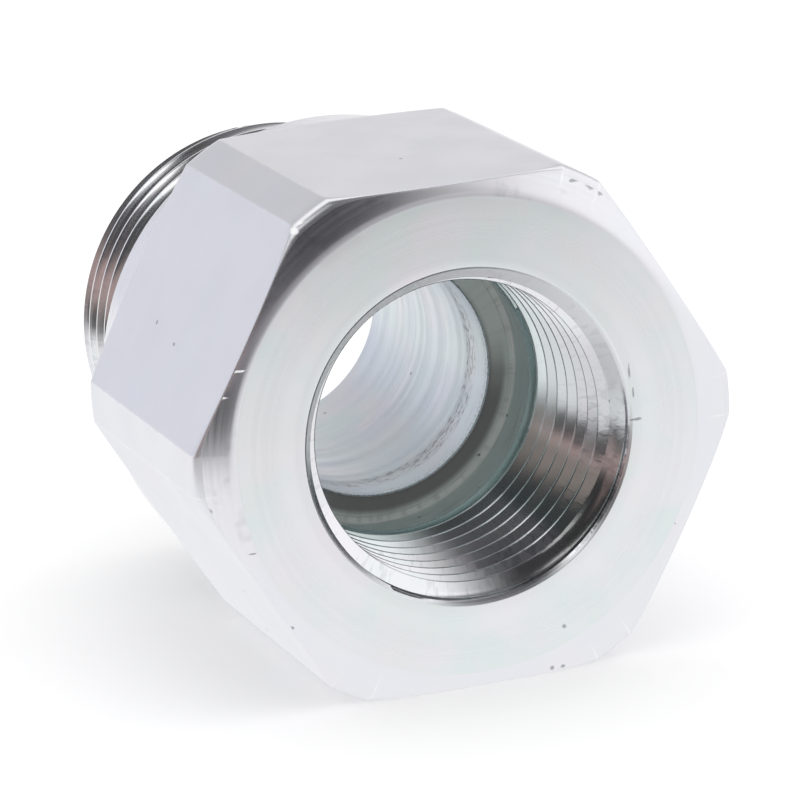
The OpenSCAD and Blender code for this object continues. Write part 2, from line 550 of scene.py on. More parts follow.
def joined_faces(rings, columns, across_seam):
    """Faces from each column to the next and over the seam, and the finish of each."""
    faces = []
    finishes = []
    for number, (column, (_, ring)) in enumerate(zip(columns, rings)):
        closing = number == len(columns) - 1
        other = columns[0] if closing else columns[number + 1]
        met = across_seam if closing else range(len(column))
        for row, point in enumerate(ring):
            following = (row + 1) % len(column)
            corners = [column[row], column[following], other[met[following]], other[met[row]]]
            face = [c for place, c in enumerate(corners) if c != corners[place - 1]]
            if len(set(face)) < 3:
                continue
            faces.append(face)
            finishes.append(FINISHES.index(point[3]))
    return faces, finishes


def build_body_mesh(hexagon, stud, port):
    """One closed mesh: each column carries the whole profile, and the thread rows climb with the angle."""
    rings, threads = body_rings(hexagon, stud, port)
    points, wear, columns = shared_points(rings)
    faces, finishes = joined_faces(rings, columns, rows_across_seam(len(columns[0]), threads))
    mesh = bpy.data.meshes.new("reducer_finish")
    mesh.from_pydata(points, [], faces)
    mesh.polygons.foreach_set("material_index", finishes)
    mesh.polygons.foreach_set("use_smooth", [True] * len(faces))
    layer = mesh.attributes.new("worn", "FLOAT", "POINT")
    layer.data.foreach_set("value", wear)
    cleaner = bmesh.new()
    cleaner.from_mesh(mesh)
    bmesh.ops.recalc_face_normals(cleaner, faces=cleaner.faces)
    open_edges = [e for e in cleaner.edges if not e.is_manifold]
    if open_edges:
        raise RuntimeError(f"the body's mesh has {len(open_edges)} open edges")
    cleaner.to_mesh(mesh)
    cleaner.free()
    mesh.set_sharp_from_angle(angle=SHARP_ANGLE)
    mesh.update()
    return mesh


def join(tree, source, target):
    """Links a socket, or sets a plain value on it."""
    if isinstance(source, bpy.types.NodeSocket):
        tree.links.new(source, target)
    else:
        target.default_value = source


def put_node(tree, kind, inputs=None, **settings):
    """Adds a node in the next place of a grid, with its settings and its inputs set or linked."""
    row, column = divmod(len(tree.nodes), 10)
    node = tree.nodes.new(kind)
    node.location = (column * 220.0, row * -320.0)
    for name, value in settings.items():
        setattr(node, name, value)
    for key, value in (inputs or {}).items():
        join(tree, value, node.inputs[key])
    return node


def calculate(tree, operation, *values, clamp=False):
    """A math node on numbers."""
    inputs = dict(enumerate(values))
    return put_node(tree, "ShaderNodeMath", inputs, operation=operation, use_clamp=clamp).outputs[0]


def vector_maths(tree, operation, *values, output="Vector"):
    """A math node on vectors."""
    node = put_node(tree, "ShaderNodeVectorMath", dict(enumerate(values)), operation=operation)
    return node.outputs[output]


def split(tree, vector):
    """The X, Y and Z parts of a vector."""
    return put_node(tree, "ShaderNodeSeparateXYZ", {0: vector}).outputs


def from_axis(tree, position):
    """The way from the fitting's axis to a position."""
    return vector_maths(tree, "MULTIPLY", position, (1.0, 0.0, 1.0))


def remap(tree, value, low, high, to_low=0.0, to_high=1.0):
    """A smooth map of a value from one range to another."""
    inputs = {"Value": value, "From Min": low, "From Max": high, "To Min": to_low, "To Max": to_high}
    return put_node(tree, "ShaderNodeMapRange", inputs, interpolation_type="SMOOTHSTEP").outputs["Result"]


def window_edges(tree, value, low, high):
    """A mask of a range. Each edge is given as where the mask starts to change and where it ends."""
    return calculate(tree, "MULTIPLY", remap(tree, value, *low), remap(tree, value, *high, 1.0, 0.0))


def blend_colours(tree, factor, first, second):
    """A colour mixed from two others."""
    inputs = {"Factor": factor, 6: first, 7: second}
    return put_node(tree, "ShaderNodeMix", inputs, data_type="RGBA").outputs[2]


def noise(tree, place, scale, detail=2.0, dimensions="3D"):
    """A noise texture, along one number where it has one dimension."""
    inputs = {"W" if dimensions == "1D" else "Vector": place, "Scale": scale, "Detail": detail}
    return put_node(tree, "ShaderNodeTexNoise", inputs, noise_dimensions=dimensions).outputs[0]


def bump(tree, height, strength, distance, under=None, invert=False):
    """A bump node, laid over another normal where one is given."""
    inputs = {"Strength": strength, "Distance": distance, "Height": height}
    if under is not None:
        inputs["Normal"] = under
    return put_node(tree, "ShaderNodeBump", inputs, invert=invert).outputs["Normal"]


def new_group(name, outputs, **inputs):
    """A shader node group with a position and named inputs; an underscore stands for a space.

    An input's default tells its kind: a number, a vector of three or a colour of four.
    """
    old = bpy.data.node_groups.get(name)
    if old is not None:
        bpy.data.node_groups.remove(old)
    group = bpy.data.node_groups.new(name, "ShaderNodeTree")
    kinds = {3: "NodeSocketVector", 4: "NodeSocketColor"}
    for label, default in {"Position": (0.0, 0.0, 0.0), **inputs}.items():
        kind = "NodeSocketFloat" if isinstance(default, float) else kinds[len(default)]
        socket = group.interface.new_socket(label.replace("_", " "), in_out="INPUT", socket_type=kind)
        socket.default_value = default
    for label in outputs:
        kind = "NodeSocketColor" if label == "Color" else "NodeSocketFloat"
        group.interface.new_socket(label, in_out="OUTPUT", socket_type=kind)
    return group, put_node(group, "NodeGroupInput").outputs


def finish_group(group, **values):
    """Leads the values out of the group."""
    put_node(group, "NodeGroupOutput", values)
    return group


def place_group(tree, group, **values):
    """Places a node group and sets its named inputs; an underscore in a name stands for a space."""
    inputs = {name.replace("_", " "): value for name, value in values.items()}
    return put_node(tree, "ShaderNodeGroup", inputs, node_tree=group).outputs


def turning_marks_group():
    """Fine grooves left by the turning tool, round the axis on faces, cones and cylinders alike."""
    group, entry = new_group("Turning marks", ("Height", "Tone"), Spacing=0.00012, Wander=0.3)
    position = entry["Position"]
    along_share = 1.7
    sway_scale = 240.0
    broad_scale = 0.13
    radius = vector_maths(group, "LENGTH", from_axis(group, position), output="Value")
    along = calculate(group, "MULTIPLY", split(group, position)["Y"], along_share)
    cuts = calculate(group, "DIVIDE", calculate(group, "ADD", radius, along), entry["Spacing"])
    sway = calculate(group, "MULTIPLY", noise(group, position, sway_scale, 1.0), entry["Wander"])
    place = calculate(group, "ADD", cuts, sway)
    fine = noise(group, place, 1.0, dimensions="1D")
    broad = noise(group, place, broad_scale, dimensions="1D")
    return finish_group(group, Height=fine, Tone=remap(group, broad, *TONE_RANGE))


def drawn_grain_group():
    """Faint streaks along the bar, left by drawing it through the hexagon die."""
    group, entry = new_group("Drawn grain", ("Height", "Tone"), Fineness=9000.0, Stretch=0.03)
    parts = split(group, entry["Position"])
    slow = calculate(group, "MULTIPLY", parts["Y"], entry["Stretch"])
    drawn = put_node(group, "ShaderNodeCombineXYZ", {"X": parts["X"], "Y": slow, "Z": parts["Z"]})
    streaks = noise(group, drawn.outputs[0], entry["Fineness"], 3.0)
    soft_scale = calculate(group, "MULTIPLY", entry["Fineness"], 0.04)
    clouds = noise(group, entry["Position"], soft_scale, 4.0)
    return finish_group(group, Height=streaks, Tone=remap(group, clouds, *TONE_RANGE))


def plate_tint_group():
    """Slow drift of the passivated zinc between its plain, cool and warm colours."""
    tints = {"Plain": BLACK, "Cool": BLACK, "Warm": BLACK, "Cool_amount": 0.5, "Warm_amount": 0.3}
    group, entry = new_group("Plate tint", ("Color",), Patch_size=0.004, **tints)
    scale = calculate(group, "DIVIDE", 1.0, entry["Patch size"])
    colour = entry["Plain"]
    for tint, seed, low, high in (("Cool", 0.0, 0.35, 0.65), ("Warm", 3.7, 0.42, 0.68)):
        inputs = {"Vector": entry["Position"], "W": seed, "Scale": scale, "Detail": 2.0}
        cloud = put_node(group, "ShaderNodeTexNoise", inputs, noise_dimensions="4D")
        mask = remap(group, cloud.outputs[0], low, high)
        share = calculate(group, "MULTIPLY", mask, entry[f"{tint} amount"])
        colour = blend_colours(group, share, colour, entry[tint])
    return finish_group(group, Color=colour)


def specks_group():
    """Small scattered marks from handling: a mask of their places."""
    group, entry = new_group("Handling specks", ("Mask",), Gap=0.0012, Share=0.1, Size=0.16)
    position = entry["Position"]
    ripple_scale = 2600.0
    reach = (0.0003, 0.0003, 0.0003)
    ripple = put_node(group, "ShaderNodeTexNoise", {"Vector": position, "Scale": ripple_scale})
    shaken = vector_maths(group, "MULTIPLY_ADD", ripple.outputs["Color"], reach, position)
    scale = calculate(group, "DIVIDE", 1.0, entry["Gap"])
    cells = put_node(group, "ShaderNodeTexVoronoi", {"Vector": shaken, "Scale": scale}).outputs
    lot = put_node(group, "ShaderNodeSeparateColor", {0: cells["Color"]}).outputs
    chosen = calculate(group, "LESS_THAN", lot[0], entry["Share"])
    own_size = calculate(group, "MULTIPLY", lot[1], entry["Size"])
    inner = calculate(group, "MULTIPLY", own_size, 0.4)
    dot = remap(group, cells["Distance"], inner, own_size, 1.0, 0.0)
    return finish_group(group, Mask=calculate(group, "MULTIPLY", dot, chosen))


def edge_wear_group():
    """Rubbed edges: the stored wear of each edge, broken up by a fine noise."""
    group, entry = new_group("Edge wear", ("Mask",), Amount=0.6)
    stored = put_node(group, "ShaderNodeAttribute", attribute_name="worn").outputs["Fac"]
    broken = remap(group, noise(group, entry["Position"], 900.0, 3.0), 0.3, 0.62)
    rubbed = calculate(group, "MULTIPLY", stored, broken)
    return finish_group(group, Mask=calculate(group, "MULTIPLY", rubbed, entry["Amount"], clamp=True))


def nick_group():
    """One short ragged dent at a given place."""
    small = (0.0003, 0.0003, 0.0003)
    group, entry = new_group("Nick", ("Mask",), Centre=(0.0, 0.0, 0.0), Half_size=small)
    away = vector_maths(group, "SUBTRACT", entry["Position"], entry["Centre"])
    share = vector_maths(group, "DIVIDE", away, entry["Half size"])
    reach = vector_maths(group, "LENGTH", share, output="Value")
    ragged = calculate(group, "ADD", reach, noise(group, entry["Position"], 3000.0))
    return finish_group(group, Mask=remap(group, ragged, 0.95, 1.6, 1.0, 0.0))


def cut_marks_group():
    """Marks of the cutting tool, as many round the axis and as long along it as the inputs say.

    Few and short ones make broken rings, many and long ones make chatter across the thread.
    """
    group, entry = new_group("Cut marks", ("Mask",), Marks_round=20.0, Length=0.002, Threshold=0.55)
    outward = vector_maths(group, "NORMALIZE", from_axis(group, entry["Position"]))
    scaled = {0: outward, "Scale": entry["Marks round"]}
    round_axis = put_node(group, "ShaderNodeVectorMath", scaled, operation="SCALE").outputs[0]
    along = calculate(group, "DIVIDE", split(group, entry["Position"])["Y"], entry["Length"])
    lengthwise = put_node(group, "ShaderNodeCombineXYZ", {"Y": along}).outputs[0]
    marks = noise(group, vector_maths(group, "ADD", round_axis, lengthwise), 1.0)
    top = calculate(group, "ADD", entry["Threshold"], 0.16)
    return finish_group(group, Mask=remap(group, marks, entry["Threshold"], top))


def nicks_layer(finish, kind):
    """A layer of the single marks of one finish."""

    def build(tree, groups, position):
        total = None
        for centre, half_size, mark_kind in NICKS[finish]:
            if mark_kind != kind:
                continue
            centre = [value * MILLIMETRE for value in centre]
            half_size = [value * MILLIMETRE for value in half_size]
            nick = place_group(tree, groups["nick"], Position=position, Centre=centre, Half_size=half_size)
            mask = nick["Mask"]
            total = mask if total is None else calculate(tree, "MAXIMUM", total, mask)
        return total

    return build


def sector_mask(tree, position, sector):
    """A mask round one direction from the axis, given as (middle, full reach, faded reach) in degrees."""
    middle, full, faded = degrees(*sector)
    outward = vector_maths(tree, "NORMALIZE", from_axis(tree, position))
    direction = (math.cos(middle), 0.0, math.sin(middle))
    towards = vector_maths(tree, "DOT_PRODUCT", outward, direction, output="Value")
    return remap(tree, towards, math.cos(faded), math.cos(full))


def marks_layer(marks_round, length, threshold, low=None, high=None, amount=1.0, sector=None):
    """A layer of tool marks, kept between two places along the axis and in a sector if given."""

    def build(tree, groups, position):
        sizes = {"Marks_round": marks_round, "Length": length, "Threshold": threshold}
        marks = place_group(tree, groups["cuts"], Position=position, **sizes)
        mask = calculate(tree, "MULTIPLY", marks["Mask"], amount)
        if low is not None:
            kept = window_edges(tree, split(tree, position)["Y"], low, high)
            mask = calculate(tree, "MULTIPLY", mask, kept)
        if sector is not None:
            mask = calculate(tree, "MULTIPLY", mask, sector_mask(tree, position, sector))
        return mask

    return build


def film_and_shade_layer(amount, low=None, high=None, sector=None):
    """A layer that covers nearly all of its stretch and sector, used for real film and for painted shade."""
    return marks_layer(0.6, 0.02, 0.2, low, high, amount, sector)


def painted_shade_ring_layer(inner, outer, amount, sector):
    """A layer of painted shade that covers a ring round the axis up to one radius and fades towards another.
    """

    def build(tree, groups, position):
        radius = vector_maths(tree, "LENGTH", from_axis(tree, position), output="Value")
        inside = remap(tree, radius, inner, outer, amount, 0.0)
        return calculate(tree, "MULTIPLY", inside, sector_mask(tree, position, sector))

    return build


def depth_layer(start, end, amount):
    """A layer that grows from one place along the axis to another."""

    def build(tree, groups, position):
        low, high = sorted((start, end))
        levels = (0.0, amount) if start < end else (amount, 0.0)
        return remap(tree, split(tree, position)["Y"], low, high, *levels)

    return build


def solid_colour(colour):
    """A property's colour with full alpha."""
    return (*colour, 1.0)


def empty_material(name):
    """A material without nodes, in place of an older one of the same name."""
    old = bpy.data.materials.get(name)
    if old is not None:
        bpy.data.materials.remove(old)
    material = bpy.data.materials.new(name)
    material.use_nodes = True
    material.node_tree.nodes.clear()
    return material, material.node_tree


def plated_material(name, colours, groups, look):
    """A plated surface: tinted zinc with specks and worn edges over its own tool marks.

    The look gives the tool marks as (group, inputs, bump strength, bump depth), the inputs of
    the tint and of the specks, and the roughness with its swing. Its layers are laid over
    that, each as (builder of the mask, colour, bump strength); some of them are painted shade.
    Bruises are crushed spots that scatter light instead of mirroring it, and a few of these
    pale spots paint a highlight on one corner. The dull side is a duller and rougher sector
    that ends between two places along the axis.
    """
    material, tree = empty_material(name)
    position = put_node(tree, "ShaderNodeTexCoord").outputs["Object"]
    metal = look.get("metal", 1.0)
    metallic = metal
    kind, mark_values, strength, depth = look["marks"]
    tooled = place_group(tree, groups[kind], Position=position, **mark_values)
    tint = place_group(tree, groups["tint"], Position=position, **look["tints"])
    dots = place_group(tree, groups["specks"], Position=position, **look["specks"])
    wear = place_group(tree, groups["wear"], Position=position, Amount=look.get("wear", 0.8))
    colour = tint["Color"]
    normal = bump(tree, tooled["Height"], strength, depth)
    for build, layer_colour, dent in look.get("layers", ()):
        mask = build(tree, groups, position)
        colour = blend_colours(tree, mask, colour, solid_colour(layer_colour))
        if dent > 0.0:
            normal = bump(tree, mask, dent, DENT_DEPTH, normal, invert=True)
    if "bruises" in look:
        mask = look["bruises"](tree, groups, position)
        colour = blend_colours(tree, mask, colour, solid_colour(colours.worn))
        metallic = remap(tree, mask, 0.0, 1.0, metal, BRUISE_AND_HIGHLIGHT_METAL)
        normal = bump(tree, mask, DENT_STRENGTH, DENT_DEPTH, normal, invert=True)
    rubbed = blend_colours(tree, wear["Mask"], colour, solid_colour(colours.worn))
    marked = blend_colours(tree, dots["Mask"], rubbed, solid_colour(colours.specks_and_painted_shade))
    middle, swing = look["rough"]
    roughness = remap(tree, tooled["Tone"], 0.0, 1.0, middle - swing, middle + swing)
    if "dull_side" in look:
        start, end, sector, side_metal, side_roughness = look["dull_side"]
        shallow = depth_layer(end, start, 1.0)(tree, groups, position)
        side = calculate(tree, "MULTIPLY", shallow, sector_mask(tree, position, sector))
        metallic = remap(tree, side, 0.0, 1.0, metal, side_metal)
        added = remap(tree, side, 0.0, 1.0, 0.0, side_roughness - middle)
        roughness = calculate(tree, "ADD", roughness, added)
    dented = bump(tree, dots["Mask"], DENT_STRENGTH, SPECK_DEPTH, normal, invert=True)
    inputs = {"Base Color": marked, "Metallic": metallic, "Roughness": roughness, "Normal": dented}
    shader = put_node(tree, "ShaderNodeBsdfPrincipled", inputs)
    put_node(tree, "ShaderNodeOutputMaterial", {"Surface": shader.outputs[0]})
    return material


def plate_tints(colours, patch, cool_amount, warm_amount, plain=None, cool=None):
    """Inputs of the plate tint for one finish, with its own plain and cool colours where given."""
    return {
        "Patch_size": patch,
        "Plain": solid_colour(plain or colours.zinc),
        "Cool": solid_colour(cool or colours.cool),
        "Warm": solid_colour(colours.warm),
        "Cool_amount": cool_amount,
        "Warm_amount": warm_amount,
    }


def turned(spacing, wander, strength, depth=0.00001):
    """Tool marks of a turned surface."""
    return "turning", {"Spacing": spacing, "Wander": wander}, strength, depth


def specks(gap, share, size):
    """Inputs of the specks for one finish."""
    return {"Gap": gap, "Share": share, "Size": size}


def flats_look(colours):
    """Cold drawn flats and corner strips: long faint grain, cloudy plating and a painted highlight at the
    upper left corner.
    """
    return {
        "marks": ("grain", {"Fineness": 7000.0, "Stretch": 0.04}, 0.12, 0.00001),
        "tints": plate_tints(colours, 0.007, 0.25, 0.2),
        "specks": specks(0.0021, 0.10, 0.09),
        "rough": (colours.flat_roughness, 0.03),
        "layers": ((nicks_layer("drawn_flats", "dark"), colours.tool_marks_and_painted_shade, 0.4),),
        # The pale spots on the flats are a painted highlight at the upper left corner.
        "bruises": nicks_layer("drawn_flats", "pale"),
    }


def face_look(colours):
    """The turned port face and stud end: rings of fine grooves under a slight rainbow."""
    return {
        "marks": turned(0.00016, 0.4, 0.08),
        "tints": plate_tints(colours, 0.004, 0.6, 0.45, cool=colours.green),
        "specks": specks(0.0025, 0.10, 0.09),
        "rough": (colours.face_roughness, 0.03),
        "layers": (
            (nicks_layer("turned_face", "dark"), colours.tool_marks_and_painted_shade, 0.5),
            (nicks_layer("turned_face", "pale"), colours.worn, 0.4),
        ),
    }


def chamfers_look(colours):
    """Chamfers, collar and undercut: finer turning, smoother than the face, with a few nicks and a painted
    highlight at the upper left corner.
    """
    rubbed = (130.0, 60.0, 90.0)
    return {
        "marks": turned(0.00009, 0.2, 0.12, 0.000006),
        "tints": plate_tints(colours, 0.006, 0.2, 0.3),
        "specks": specks(0.0012, 0.08, 0.09),
        "rough": (colours.chamfer_roughness, 0.03),
        "layers": (
            (marks_layer(12.0, 0.0004, 0.55, amount=0.20, sector=rubbed), colours.tool_marks_and_painted_shade, 0.2),
            (nicks_layer("turned_chamfers", "dark"), colours.tool_marks_and_painted_shade, 0.15),
        ),
        "bruises": nicks_layer("turned_chamfers", "pale"),
    }


def mouth_look(colours):
    """The countersink at the port's mouth, a little rougher than the thread, torn and painted darker on its
    lower right side.
    """
    torn = (-29.0, 12.0, 30.0)
    return {
        "marks": turned(0.0001, 0.6, 0.10),
        "tints": plate_tints(colours, 0.003, 0.3, 0.3),
        "specks": specks(0.0011, 0.08, 0.10),
        "rough": (colours.thread_roughness + 0.06, 0.03),
        "dull_side": dull_mouth_side(colours),
        # Real torn marks, laid thick enough that they also paint shade on this side.
        "layers": ((marks_layer(22.0, 0.0006, 0.40, amount=0.6, sector=torn), colours.specks_and_painted_shade, 0.3),),
    }


def dull_mouth_side(colours):
    """The upper side of the port's mouth, where the plating is duller."""
    return -0.0262, -0.0257, (95.0, 72.0, 104.0), 0.55, colours.mouth_roughness


def threads_look(colours):
    """Cut threads: tool lines, torn spots near the port's mouth and a film that thickens with depth, with
    painted shade on the port's right and lower right sides and where its thread runs out.
    """
    mouth = (PORT_FACE_Y - 0.001, PORT_FACE_Y)
    runout = (-0.0115, -0.0110)
    right = (3.0, 12.0, 34.0)
    torn = (-38.0, 28.0, 58.0)
    lower_right = (-38.0, 10.0, 17.0)
    bottom_right = (-50.0, 20.0, 32.0)
    return {
        "marks": turned(0.00009, 1.0, 0.1, 0.000008),
        "tints": plate_tints(colours, 0.003, 0.35, 0.4, cool=colours.green),
        "specks": specks(0.0008, 0.16, 0.14),
        "rough": (colours.thread_roughness, 0.04),
        "dull_side": dull_mouth_side(colours),
        "wear": 0.6,
        "layers": (
            (marks_layer(26.0, 0.0009, 0.54, amount=0.22), colours.tool_marks_and_painted_shade, 0.0),
            # Painted shade on the right side of the port's thread near the mouth.
            (marks_layer(2.0, 0.02, 0.2, mouth, (-0.015, -0.013), 0.42, right), colours.tool_marks_and_painted_shade, 0.0),
            (marks_layer(24.0, 0.0004, 0.48, mouth, (-0.0225, -0.0190), 0.45, torn), colours.tool_marks_and_painted_shade, 0.2),
            (film_and_shade_layer(0.45, (-0.0215, -0.0125), runout), colours.dull, 0.0),
            # Painted shade: a dark stretch where the port's thread runs out, a narrow lower right sector, and
            # a dark patch on the lower right just inside the mouth.
            (film_and_shade_layer(0.7, (-0.0140, -0.0128), runout), colours.film, 0.0),
            (film_and_shade_layer(0.9, mouth, (-0.0130, -0.0120), lower_right), colours.film, 0.0),
            (film_and_shade_layer(0.75, mouth, (-0.0257, -0.0252), bottom_right), colours.specks_and_painted_shade, 0.0),
        ),
    }


def bore_look(colours):
    """The flow bore: faint ring marks, a band of scored rings near the seat and scattered pits."""
    band = ((-0.0060, -0.0056), (-0.0043, -0.0038))
    rim = ((-0.0085, -0.0083), (-0.0078, -0.0072))
    return {
        "marks": turned(0.00028, 0.8, 0.08),
        "tints": plate_tints(colours, 0.004, 0.5, 0.45, plain=colours.bore, cool=colours.green),
        "specks": specks(0.0014, 0.28, 0.13),
        "rough": (colours.bore_roughness, 0.05),
        "wear": 0.5,
        "layers": (
            (depth_layer(0.002, -0.004, 0.12), colours.dull, 0.0),
            (film_and_shade_layer(0.30, *band), colours.tool_marks_and_painted_shade, 0.0),
            (marks_layer(16.0, 0.00022, 0.50, *band, amount=0.75), colours.specks_and_painted_shade, 0.6),
            (marks_layer(2.5, 0.0006, 0.56, amount=0.14), colours.tool_marks_and_painted_shade, 0.1),
            (marks_layer(50.0, 0.0002, 0.47, *rim, amount=0.6), colours.tool_marks_and_painted_shade, 0.6),
        ),
    }


def recess_look(colours):
    """Relief and seat deep in the port: a thick dull film, greener on the wall than on the seat, with painted
    shade on the seat's lower right and along the bore's rim.
    """
    corner = ((-0.0083, -0.0080), (-0.0075, -0.0070))
    return {
        "marks": turned(0.00016, 0.4, 0.25),
        "tints": plate_tints(colours, 0.004, 0.2, 0.15, plain=colours.dull, cool=colours.seat),
        "specks": specks(0.0010, 0.30, 0.16),
        "rough": (colours.dull_roughness, 0.04),
        "wear": 0.5,
        "metal": 0.15,
        "layers": (
            (depth_layer(-0.0084, -0.0081, 0.8), colours.seat, 0.0),
            (marks_layer(3.0, 0.00035, 0.52, amount=0.25), colours.tool_marks_and_painted_shade, 0.2),
            (marks_layer(18.0, 0.003, 0.50, *corner, amount=0.25), colours.specks_and_painted_shade, 0.1),
            # Painted shade: the lower right part of the seat is darkened, and a dark ring runs along the
            # bore's rim.
            (painted_shade_ring_layer(0.0089, 0.0095, 0.92, (-66.0, 44.0, 80.0)), colours.specks_and_painted_shade, 0.0),
            (painted_shade_ring_layer(0.00805, 0.0084, 0.6, (-60.0, 60.0, 120.0)), colours.specks_and_painted_shade, 0.0),
        ),
    }


# The finishes of the body, in the order of its material slots, with the name and look of each.
LOOKS = {
    "drawn_flats": ("zinc_drawn_flats", flats_look),
    "turned_face": ("zinc_turned_face", face_look),
    "turned_chamfers": ("zinc_turned_chamfers", chamfers_look),
    "countersunk_mouth": ("zinc_countersunk_mouth", mouth_look),
    "cut_threads": ("zinc_cut_threads", threads_look),
    "flow_bore": ("zinc_flow_bore", bore_look),
    "dull_recess": ("zinc_dull_recess", recess_look),
}
FINISHES = tuple(LOOKS)


class REDUCER_OT_body(bpy.types.Operator):
    """Builds the plated body with its hexagon, stud thread, port thread and bores"""

    bl_idname = "reducer.body"
    bl_label = "Build body"
    bl_options = {"REGISTER", "UNDO"}

    def execute(self, context):
        scene = context.scene
        mesh = build_body_mesh(scene.reducer_hexagon, scene.reducer_stud, scene.reducer_port)
        groups = {
            "turning": turning_marks_group(),
            "grain": drawn_grain_group(),
            "tint": plate_tint_group(),
            "specks": specks_group(),
            "wear": edge_wear_group(),
            "nick": nick_group(),
            "cuts": cut_marks_group(),
        }
        colours = scene.reducer_plating
        for name, look in LOOKS.values():
            mesh.materials.append(plated_material(name, colours, groups, look(colours)))
        piece = bpy.data.objects.new("reducer_finish", mesh)
        scene.collection.objects.link(piece)
        normals = piece.modifiers.new("Face weighted normals", "WEIGHTED_NORMAL")
        normals.mode = "FACE_AREA"
        normals.weight = 60
        normals.keep_sharp = True
        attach(piece, "root")
        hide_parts("reducer_body")
        return {"FINISHED"}


def front_azimuth(tree, across, along):
    """The direction round the object from its front, positive to the right."""
    return calculate(tree, "ARCTAN2", across, calculate(tree, "MULTIPLY", along, -1.0))


def light_path(tree, kind):
    """Whether a ray is of the named kind."""
    return put_node(tree, "ShaderNodeLightPath").outputs[kind]


def mix_shaders(tree, factor, first, second):
    """Two shaders mixed by a factor."""
    return put_node(tree, "ShaderNodeMixShader", {0: factor, 1: first, 2: second}).outputs[0]


def table_level(tree, pool_radius):
    """How bright metal mirrors the floor: bright round the object and darker further out in front."""
    spot = put_node(tree, "ShaderNodeTexCoord").outputs["Object"]
    distance = vector_maths(tree, "LENGTH", spot, output="Value")
    parts = split(tree, spot)
    azimuth = front_azimuth(tree, parts["X"], parts["Y"])
    front = remap(tree, distance, pool_radius, pool_radius * 1.75, 1.0, 0.30)
    left = remap(tree, distance, pool_radius * 0.8, pool_radius * 1.2, 1.0, 0.08)
    to_left = remap(tree, azimuth, *degrees(-17.0, -2.0), 1.0, 0.0)
    ahead = window_edges(tree, azimuth, degrees(-95.0, -80.0), degrees(12.0, 30.0))
    far_front = put_node(tree, "ShaderNodeMix", {0: to_left, 2: front, 3: left}, data_type="FLOAT")
    levels = {0: ahead, 2: 1.0, 3: far_front.outputs[0]}
    return put_node(tree, "ShaderNodeMix", levels, data_type="FLOAT").outputs[0]


def floor_material(colour, lift, pool_radius):
    """A plain matt floor, unseen from below so that the underside can be looked at.

    The camera sees it lifted to white with the shadow kept. Metal mirrors it as a lit table.
    """
    material, tree = empty_material("studio_floor")
    matt = put_node(tree, "ShaderNodeBsdfDiffuse", {"Color": solid_colour(colour)})
    lifted = calculate(tree, "MULTIPLY", light_path(tree, "Is Camera Ray"), lift)
    glow = put_node(tree, "ShaderNodeEmission", {"Color": WHITE, "Strength": lifted})
    seen = put_node(tree, "ShaderNodeAddShader", {0: matt.outputs[0], 1: glow.outputs[0]})
    table_look = {"Color": (0.985, 0.985, 1.0, 1.0), "Strength": table_level(tree, pool_radius)}
    table = put_node(tree, "ShaderNodeEmission", table_look)
    mirrored = mix_shaders(tree, light_path(tree, "Is Glossy Ray"), seen.outputs[0], table.outputs[0])
    clear = put_node(tree, "ShaderNodeBsdfTransparent").outputs[0]
    from_below = put_node(tree, "ShaderNodeNewGeometry").outputs["Backfacing"]
    surface = mix_shaders(tree, from_below, mirrored, clear)
    put_node(tree, "ShaderNodeOutputMaterial", {"Surface": surface})
    return material


def room_shell(tree, direction, azimuth):
    """Pale walls, bluer on the left, dimmer behind, sunlit on the right and brightest overhead."""
    left_wall = (0.79, 0.80, 0.87, 1.0)
    right_wall = (0.93, 0.915, 0.925, 1.0)
    dim_wall = (0.50, 0.50, 0.53, 1.0)
    sunlit_wall = (1.08, 1.08, 1.10, 1.0)
    ceiling = (1.12, 1.12, 1.13, 1.0)
    to_right = remap(tree, direction["X"], -0.32, 0.12)
    wall = blend_colours(tree, to_right, left_wall, right_wall)
    upper = remap(tree, direction["Z"], 0.26, 0.37)
    behind = remap(tree, direction["Y"], 0.0, 0.4)
    walls = blend_colours(tree, calculate(tree, "MULTIPLY", upper, behind), wall, dim_wall)
    sunlit = window_edges(tree, azimuth, degrees(20.0, 40.0), degrees(110.0, 130.0))
    sides = blend_colours(tree, sunlit, walls, sunlit_wall)
    overhead = remap(tree, direction["Z"], 0.55, 0.80)
    return blend_colours(tree, overhead, sides, ceiling)


def dark_front(tree, height, azimuth):
    """The dark part of the room in front, with a reddish band on the left and a mauve one low down."""
    night = (0.065, 0.065, 0.07, 1.0)
    reddish = (0.45, 0.34, 0.325, 1.0)
    mauve = (0.31, 0.29, 0.32, 1.0)
    left = remap(tree, azimuth, *degrees(-26.0, -18.0), 1.0, 0.0)
    left_band = window_edges(tree, height, (-0.02, 0.04), (0.21, 0.30))
    low_band = remap(tree, height, 0.06, 0.20, 1.0, 0.0)
    left_side = blend_colours(tree, left_band, night, reddish)
    right_side = blend_colours(tree, low_band, night, mauve)
    return blend_colours(tree, left, right_side, left_side)


